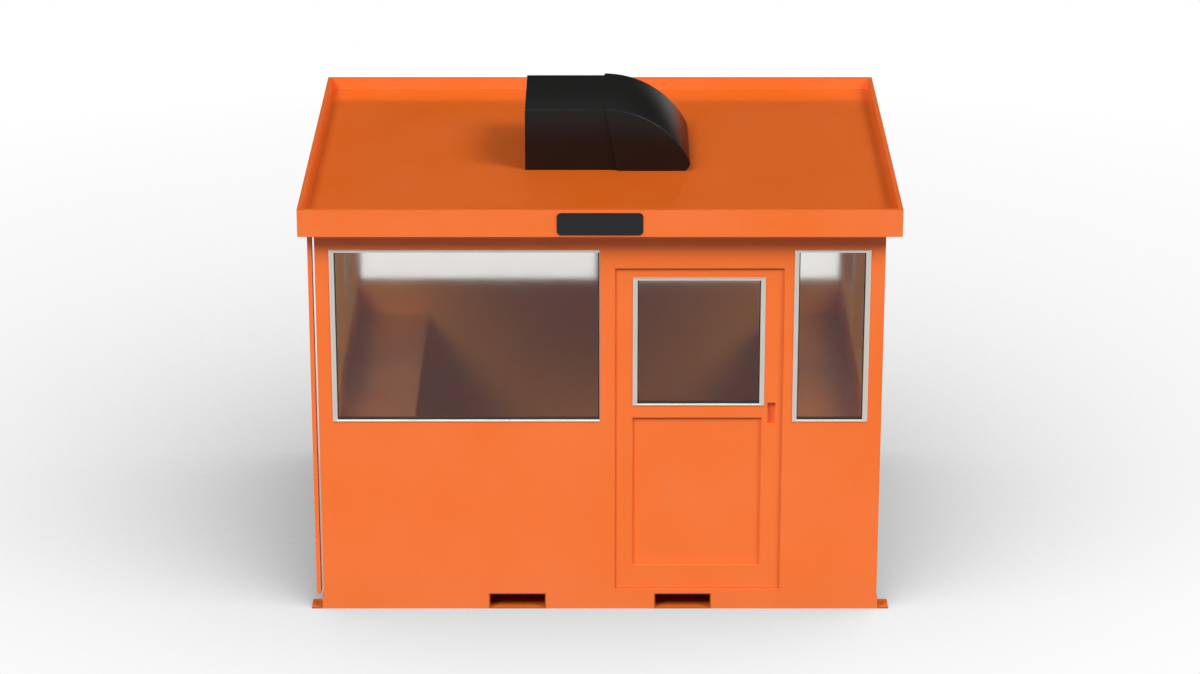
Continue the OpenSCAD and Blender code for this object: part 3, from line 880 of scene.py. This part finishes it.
class BOOTH_OT_hinge_screws(bpy.types.Operator):
    """Put two screws in each half of every hinge"""

    bl_idname = "booth.hinge_screws"
    bl_label = "Hinge screws"

    def execute(self, context):
        radius = context.scene.booth_trim.screw_head / 2
        for node, body in (("hinge_brackets", "booth"), ("hinge_straps", "door")):
            points = self.heads(node, radius)
            piece(
                node + "_screws", points, tube_faces(len(points), points.shape[1], points.shape[2]),
                finish("hinge_steel"), body)
        return {"FINISHED"}

    @staticmethod
    def heads(node, radius):
        """Screw heads on the plates of one half of the hinges.

        A head is a profile of radius and height turned about its axis: the floor of the socket, its
        rim, a dome and the edge on the plate. The places come from the plates' corners in the solid.
        """
        mesh = frame["nodes"][node].data
        co = np.empty(len(mesh.vertices) * 3, np.float32)
        mesh.vertices.foreach_get("co", co)
        co = co.reshape(-1, 3).astype(float)
        wall = co[:, 1].min()
        plate = co[np.isclose(co[:, 1], wall, atol=1e-5)]
        levels = np.unique(np.round(plate[:, 2], 4)).reshape(-1, 2).mean(1)
        x0, x1 = plate[:, 0].min(), plate[:, 0].max()
        far, near = (x0, x1) if node == "hinge_brackets" else (x1, x0)
        xs = near + (far - near) * np.array(SCREW_PLACES)
        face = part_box("centre_post")[1].y + HINGE_PLATE
        profile = np.array([(0.30, 0.12), (0.32, 0.36), (0.62, 0.33), (0.88, 0.20), (1.0, 0.0)]) * radius
        turn = np.linspace(0, 2 * np.pi, 20, endpoint=False)
        ring_x = profile[:, :1] * np.cos(turn)
        ring_z = profile[:, :1] * np.sin(turn)
        ring_y = np.broadcast_to(profile[:, 1:], ring_x.shape)
        head = np.stack([ring_x, ring_y, ring_z], -1)
        place = np.stack(np.meshgrid(xs, [face], levels, indexing="ij"), -1).reshape(-1, 1, 1, 3)
        return place + head


def lamp_way(azimuth, elevation):
    """Direction from the booth towards a lamp, with azimuths to the right of the front."""
    level = math.cos(elevation)
    return Vector((math.sin(azimuth) * level, -math.cos(azimuth) * level, math.sin(elevation)))


class BOOTH_OT_studio(bpy.types.Operator):
    """Set up the camera, the light and the pale floor"""

    bl_idname = "booth.studio"
    bl_label = "Studio"

    def execute(self, context):
        studio = context.scene.booth_studio
        self.camera(context.scene, studio)
        self.lamps(context.scene, studio)
        self.surround(context.scene, studio)
        self.floor(context.scene, studio)
        context.scene.view_settings.view_transform = "Standard"
        return {"FINISHED"}

    @staticmethod
    def camera(scene, studio):
        """A camera in front of the booth's middle that looks down on it."""
        data = bpy.data.cameras.new("camera")
        data.sensor_fit = "HORIZONTAL"
        data.sensor_width = 36.0
        data.lens = studio.lens
        data.clip_end = 500.0
        camera = bpy.data.objects.new("camera", data)
        camera.location = (0.0, -studio.camera_back, studio.camera_up)
        camera.rotation_euler = (math.pi / 2 - studio.camera_tilt, 0.0, 0.0)
        scene.collection.objects.link(camera)
        scene.camera = camera

    @staticmethod
    def lamps(scene, studio):
        """Two wide soft lamps high in front, one to each side, and a weaker low one behind.

        The one behind only fills the shade and shows in no reflection.
        """
        for name, (azimuth, elevation, strength, mirrored) in LAMPS.items():
            data = bpy.data.lights.new(name, "SUN")
            data.energy = getattr(studio, strength)
            data.angle = studio.lamp_spread
            lamp = bpy.data.objects.new(name, data)
            way = lamp_way(math.radians(azimuth), math.radians(elevation))
            lamp.rotation_euler = (-way).to_track_quat("-Z", "Y").to_euler()
            lamp.visible_glossy = mirrored
            scene.collection.objects.link(lamp)

    @staticmethod
    def surround(scene, studio):
        """A soft ceiling that fades to dim walls. The camera and rays through glass see plain white."""
        world = bpy.data.worlds.new("soft_ceiling")
        world.use_nodes = True
        tree = world.node_tree
        tree.nodes.clear()
        way = add(tree, "SeparateXYZ", {0: add(tree, "TexCoord").outputs["Generated"]})
        level = add(tree, "MapRange", {
            "Value": way.outputs[2], "From Min": math.sin(WALLS_END),
            "From Max": math.sin(CEILING_START), "To Min": studio.horizon, "To Max": studio.ceiling,
        }, interpolation_type="SMOOTHSTEP")
        path = add(tree, "LightPath").outputs
        seen = calc(tree, "MAXIMUM", path["Is Camera Ray"], path["Is Transmission Ray"])
        strength = add(tree, "Mix", {0: seen, 2: level.outputs[0], 3: 1.0})
        sky = add(tree, "Background", {"Color": (1, 1, 1, 1), "Strength": strength.outputs[0]})
        add(tree, "OutputWorld", {"Surface": sky.outputs[0]})
        scene.world = world

    @staticmethod
    def floor(scene, studio):
        """A flat grid far wider than the view.

        What sees it gets it white, dimmed by how much of the light from above and in front is hidden.
        """
        made, tree = finish_tree("pale_studio_floor")
        paper = add(tree, "BsdfDiffuse", {"Color": studio.floor})
        forward = add(tree, "CombineXYZ", dict(enumerate(LIGHT_WAY)))
        hidden = add(tree, "AmbientOcclusion", {
            "Distance": SHADE_REACH, "Normal": forward.outputs[0],
        }, samples=16)
        shade = calc(tree, "POWER", hidden.outputs["AO"], SHADE_POWER)
        white = add(tree, "Emission", {"Color": (1, 1, 1, 1), "Strength": shade})
        path = add(tree, "LightPath").outputs
        mirrored = calc(tree, "MAXIMUM", path["Is Camera Ray"], path["Is Glossy Ray"])
        seen = calc(tree, "MAXIMUM", mirrored, path["Is Transmission Ray"])
        surfaced(made, add(tree, "MixShader", {0: seen, 1: paper.outputs[0], 2: white.outputs[0]}))
        line = np.linspace(-FLOOR_REACH, FLOOR_REACH, FLOOR_LINES)
        x, y = np.meshgrid(line, line)
        points = np.stack([x, y, np.zeros_like(x)], -1)
        mesh = bpy.data.meshes.new("studio_floor")
        mesh.from_pydata(points.reshape(-1, 3).tolist(), [], quads(FLOOR_LINES, FLOOR_LINES).tolist())
        mesh.materials.append(made)
        ground = bpy.data.objects.new("studio_floor", mesh)
        scene.collection.objects.link(ground)


class BOOTH_PT_panel(bpy.types.Panel):
    """Lists the steps that dress the booth"""

    bl_idname = "BOOTH_PT_panel"
    bl_label = "Guard booth"
    bl_space_type = "VIEW_3D"
    bl_region_type = "UI"
    bl_category = "Booth"

    def draw(self, context):
        for step in STEPS:
            self.layout.operator(step.bl_idname)
        for group, owner in GROUPS.items():
            box = self.layout.box()
            for name in group.__annotations__:
                box.prop(getattr(context.scene, owner), name)


STEPS = (
    BOOTH_OT_paint_solids,
    BOOTH_OT_window_frames,
    BOOTH_OT_gaskets,
    BOOTH_OT_rooftop_unit,
    BOOTH_OT_badge_plate,
    BOOTH_OT_door_stop,
    BOOTH_OT_hinge_screws,
    BOOTH_OT_studio,
)
GROUPS = {
    BoothFinishes: "booth_finishes",
    BoothTrim: "booth_trim",
    BoothStudio: "booth_studio",
}


def register():
    for group, name in GROUPS.items():
        bpy.utils.register_class(group)
        setattr(bpy.types.Scene, name, PointerProperty(type=group))
    for step in (*STEPS, BOOTH_PT_panel):
        bpy.utils.register_class(step)


def unregister():
    for step in reversed((*STEPS, BOOTH_PT_panel)):
        bpy.utils.unregister_class(step)
    for group, name in GROUPS.items():
        delattr(bpy.types.Scene, name)
        bpy.utils.unregister_class(group)


def main():
    register()
    bpy.ops.booth.paint_solids()
    bpy.ops.booth.window_frames()
    bpy.ops.booth.gaskets()
    bpy.ops.booth.rooftop_unit()
    bpy.ops.booth.badge_plate()
    bpy.ops.booth.door_stop()
    bpy.ops.booth.hinge_screws()
    bpy.ops.booth.studio()


if __name__ == "__main__":
    main()
